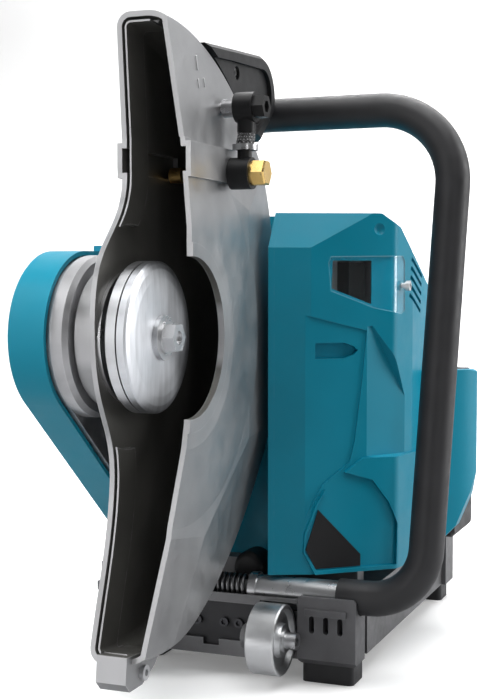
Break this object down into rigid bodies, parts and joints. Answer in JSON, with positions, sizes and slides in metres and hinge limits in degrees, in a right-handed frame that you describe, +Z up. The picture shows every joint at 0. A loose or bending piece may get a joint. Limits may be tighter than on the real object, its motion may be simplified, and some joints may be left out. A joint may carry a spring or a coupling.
{
  "type": "rescue saw",
  "caption": "Battery powered rescue saw with a turning half-drum wheel guard, clamping flanges, belt drive arm, hoop front handle and D-shaped rear handle on a footed base.",
  "frame": {"origin": "on the wheel spindle's axis, at the middle of the cutting wheel, between the clamping flanges", "axes": "+X along the spindle towards the clamping bolt and the operator's left, +Y from the wheel back to the rear handle, +Z up"},
  "size_m": [0.2812, 0.6788, 0.475],
  "materials": {
    "guard_paint": "satin",
    "machined_steel": "satin",
    "bright_zinc": "satin",
    "cast_aluminium": "satin",
    "base_paint": "satin",
    "black_plastic": "matte",
    "latch_plastic": "matte",
    "teal_plastic": "satin",
    "clear_plastic": "gloss",
    "black_rubber": "matte",
    "brass": "satin",
    "spring_steel": "satin",
    "motor_iron": "matte"
  },
  "bodies": {
    "chassis": {"base_block": "cast_aluminium", "base_frame": "base_paint", "battery_bay": "teal_plastic", "belt_arm": "cast_aluminium", "belt_cover": "teal_plastic", "controller": "cast_aluminium", "cover_screws": "machined_steel", "drive_belt": "black_rubber", "guard_retainer": "machined_steel", "handle_dampers": "black_plastic", "handle_pins": "machined_steel", "handle_spring": "spring_steel", "left_housing": "teal_plastic", "motor_bearings": "machined_steel", "motor_case": "cast_aluminium", "name_plate": "black_plastic", "plug_module": "black_plastic", "rear_handle_left_half": "black_plastic", "rear_handle_right_half": "black_plastic", "rear_panel": "teal_plastic", "right_housing": "teal_plastic", "roller_bolts": "machined_steel", "rubber_feet": "black_rubber", "small_screws": "machined_steel", "spindle_bearing_outers": "machined_steel", "stator": "motor_iron", "switch_box": "black_plastic", "window_cover": "clear_plastic", "window_tray": "black_plastic"},
    "wheel_guard": {"guard_shell": "guard_paint", "guard_collar": "guard_paint", "guard_grip": "black_plastic", "guard_screws": "machined_steel", "hose_elbow": "black_plastic", "banjo": "black_plastic", "banjo_bolt": "brass", "water_hose": "black_rubber", "hose_clamp": "machined_steel", "water_nozzles": "brass"},
    "spindle": {"spindle_shaft": "machined_steel", "inner_flange": "machined_steel", "outer_flange": "bright_zinc", "flange_washer": "machined_steel", "flange_bolt": "machined_steel", "driven_pulley": "cast_aluminium", "spindle_bearing_inners": "machined_steel"},
    "motor_rotor": {"motor_shaft": "machined_steel", "drive_pulley": "cast_aluminium", "cooling_fan": "black_plastic"},
    "front_handle": {"handle_tube": "machined_steel", "handle_sleeve": "black_rubber"},
    "trigger": {"trigger": "black_plastic"},
    "lock_off_lever": {"lock_off_lever": "black_plastic"},
    "right_roller": {"right_roller": "machined_steel"},
    "left_roller": {"left_roller": "machined_steel"},
    "upper_battery": {"upper_battery": "black_plastic"},
    "lower_battery": {"lower_battery": "black_plastic"},
    "upper_battery_latch": {"upper_battery_latch": "latch_plastic"},
    "lower_battery_latch": {"lower_battery_latch": "latch_plastic"},
    "power_button": {"power_button": "black_plastic"}
  },
  "joints": [
    {"name": "spindle_spin", "type": "hinge", "parent": "chassis", "child": "spindle", "pos_m": [0, 0, 0], "axis": [1, 0, 0], "continuous": true},
    {"name": "motor_spin", "type": "hinge", "parent": "chassis", "child": "motor_rotor", "pos_m": [0, 0.236, -0.136], "axis": [1, 0, 0], "continuous": true},
    {"name": "guard_turn", "type": "hinge", "parent": "chassis", "child": "wheel_guard", "pos_m": [0, 0, 0], "axis": [1, 0, 0], "range_deg": [0, 50]},
    {"name": "front_handle_float", "type": "slide", "parent": "chassis", "child": "front_handle", "axis": [1, 0, 0], "range_m": [-0.002, 0.002], "stiffness_N_per_m": 20000, "deforming": ["handle_spring"]},
    {"name": "trigger_pull", "type": "hinge", "parent": "chassis", "child": "trigger", "pos_m": [-0.008, 0.436, 0.058], "axis": [1, 0, 0], "range_deg": [0, 10]},
    {"name": "lock_off_press", "type": "hinge", "parent": "chassis", "child": "lock_off_lever", "pos_m": [-0.008, 0.536, 0.082], "axis": [1, 0, 0], "range_deg": [0, 8]},
    {"name": "right_roller_spin", "type": "hinge", "parent": "chassis", "child": "right_roller", "pos_m": [0.038, 0.125, -0.229], "axis": [1, 0, 0], "continuous": true},
    {"name": "left_roller_spin", "type": "hinge", "parent": "chassis", "child": "left_roller", "pos_m": [-0.076, 0.125, -0.229], "axis": [1, 0, 0], "continuous": true},
    {"name": "upper_battery_slide", "type": "slide", "parent": "chassis", "child": "upper_battery", "axis": [1, 0, 0], "range_m": [0, 0.155]},
    {"name": "lower_battery_slide", "type": "slide", "parent": "chassis", "child": "lower_battery", "axis": [1, 0, 0], "range_m": [0, 0.155]},
    {"name": "upper_latch_press", "type": "slide", "parent": "upper_battery", "child": "upper_battery_latch", "axis": [-1, 0, 0], "range_m": [0, 0.003]},
    {"name": "lower_latch_press", "type": "slide", "parent": "lower_battery", "child": "lower_battery_latch", "axis": [-1, 0, 0], "range_m": [0, 0.003]},
    {"name": "power_button_press", "type": "slide", "parent": "chassis", "child": "power_button", "axis": [0, -1, 0], "range_m": [0, 0.0015]}
  ],
  "couplings": [
    {"joint": "motor_spin", "follows": "spindle_spin", "ratio": 2}
  ]
}
